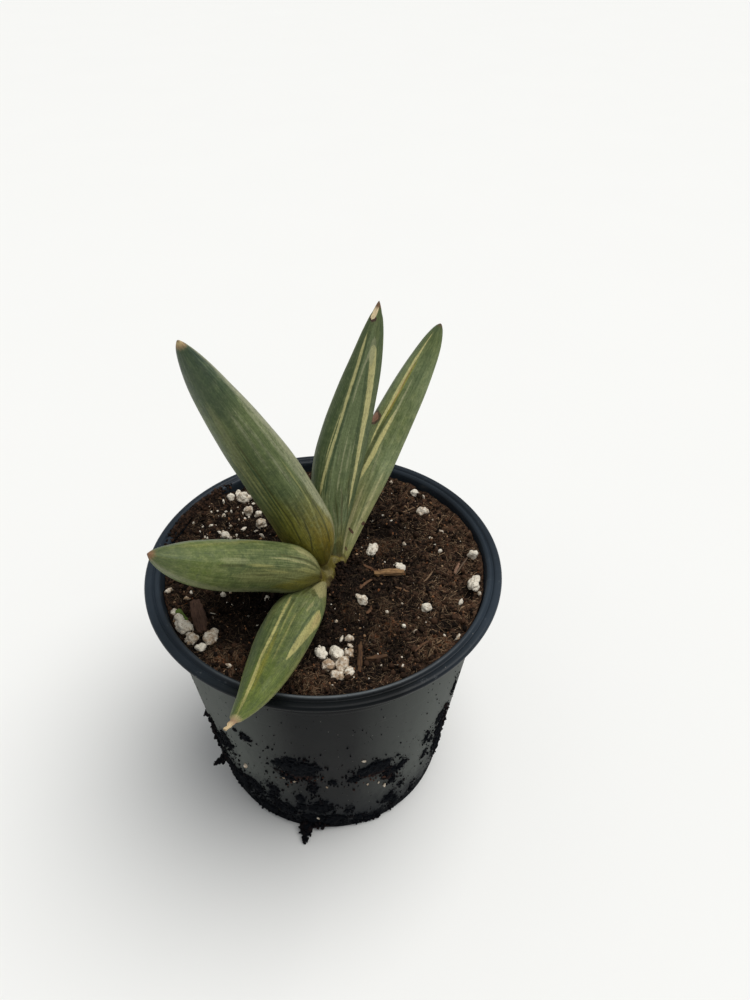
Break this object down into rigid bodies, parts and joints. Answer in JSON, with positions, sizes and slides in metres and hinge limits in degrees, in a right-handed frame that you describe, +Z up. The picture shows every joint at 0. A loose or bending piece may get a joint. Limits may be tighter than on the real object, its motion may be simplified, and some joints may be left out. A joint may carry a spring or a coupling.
{
  "type": "potted plant",
  "caption": "Small potted variegated snake plant with thick pointed leaves fanning from a short crown, in a round black nursery pot filled with potting soil.",
  "frame": {"origin": "centre of the flat pad under the pot, on the surface it stands on", "axes": "+Z up along the pot's axis, -Y towards the plant's front, where the lowest leaf passes over the rim"},
  "size_m": [0.11, 0.1243, 0.1698],
  "materials": {
    "pot_plastic": "satin black injection-moulded plastic",
    "soil": "moist fibrous peat mix",
    "crown_tissue": "smooth yellow-green plant tissue",
    "leaf_skin": "waxy green plant skin with cream stripes",
    "perlite": "chalky white expanded grains",
    "bark": "rough split bark"
  },
  "bodies": {
    "root": {"pot": "pot_plastic", "soil": "soil", "crown": "crown_tissue", "leaf_left_low": "leaf_skin", "leaf_left_upright": "leaf_skin", "leaf_front": "leaf_skin", "leaf_back_middle": "leaf_skin", "leaf_back_right": "leaf_skin", "perlite_01": "perlite", "perlite_02": "perlite", "perlite_03": "perlite", "perlite_04": "perlite", "perlite_05": "perlite", "perlite_06": "perlite", "perlite_07": "perlite", "perlite_08": "perlite", "perlite_09": "perlite", "perlite_10": "perlite", "perlite_11": "perlite", "perlite_12": "perlite", "perlite_13": "perlite", "perlite_14": "perlite", "perlite_15": "perlite", "perlite_16": "perlite", "perlite_17": "perlite", "perlite_18": "perlite", "perlite_19": "perlite", "perlite_20": "perlite", "perlite_21": "perlite", "perlite_22": "perlite", "perlite_23": "perlite", "perlite_24": "perlite", "perlite_25": "perlite", "perlite_26": "perlite", "perlite_27": "perlite", "perlite_28": "perlite", "perlite_29": "perlite", "bark_chip_left": "bark", "bark_chip_right": "bark", "bark_stick_front": "bark", "bark_stick_short": "bark"}
  },
  "joints": []
}
